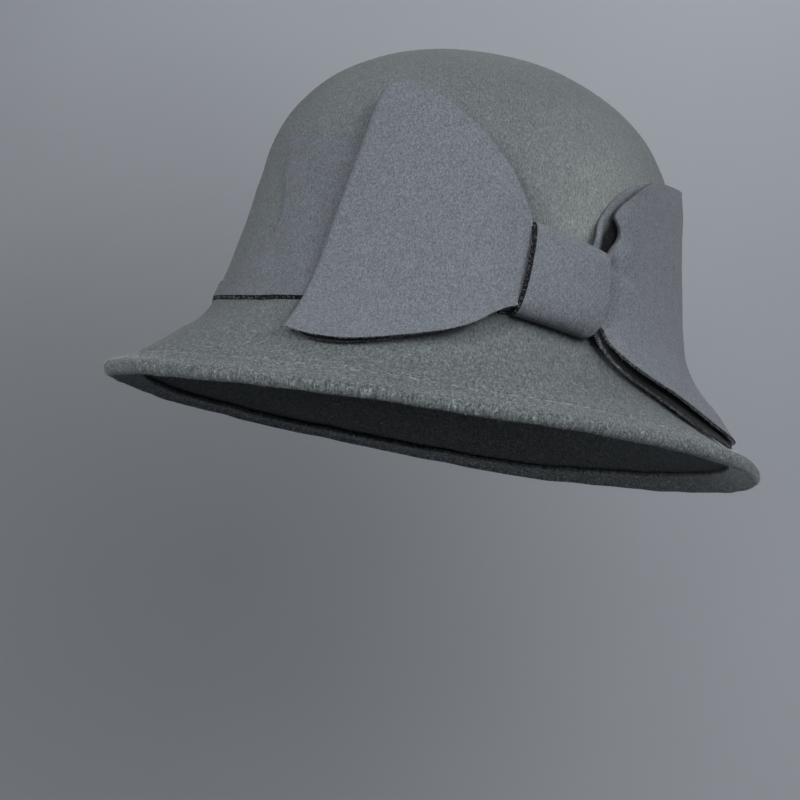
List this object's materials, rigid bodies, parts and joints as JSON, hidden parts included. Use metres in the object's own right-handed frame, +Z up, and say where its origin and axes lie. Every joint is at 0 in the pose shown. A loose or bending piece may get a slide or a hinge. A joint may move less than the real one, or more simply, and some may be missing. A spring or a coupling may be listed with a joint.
{
  "type": "bowler hat",
  "caption": "Felt bowler hat with a round crown, a sloping hemmed brim, a felt band with a fan-shaped end and a large flat felt bow at the side.",
  "frame": {"origin": "centre of the brim's oval, on the plane under the hem's lowest points (front and back), where the hat stands", "axes": "+Z up through the crown, -Y the wearer's front, +X the wearer's left, where the bow is"},
  "size_m": [0.2508, 0.2808, 0.1496],
  "materials": {
    "body_felt": "soft wool felt, grey-green",
    "trim_felt": "pressed wool felt, blue-grey, cut edges",
    "ribbon": "ribbed grosgrain ribbon",
    "hem_thread": "pale sewing thread",
    "dark_thread": "dark sewing thread",
    "wire": "drawn spring wire",
    "sleeve": "crimped tube"
  },
  "bodies": {
    "root": {"felt_body": "body_felt", "brim_wire": "wire", "wire_joiner": "sleeve", "hem_stitching": "hem_thread", "hat_band": "trim_felt", "band_tacks": "dark_thread", "bow_front_loop": "trim_felt", "bow_rear_loop": "trim_felt", "bow_knot": "trim_felt", "bow_tacks": "dark_thread", "sweatband": "ribbon", "sweatband_stitching": "dark_thread"}
  },
  "joints": []
}
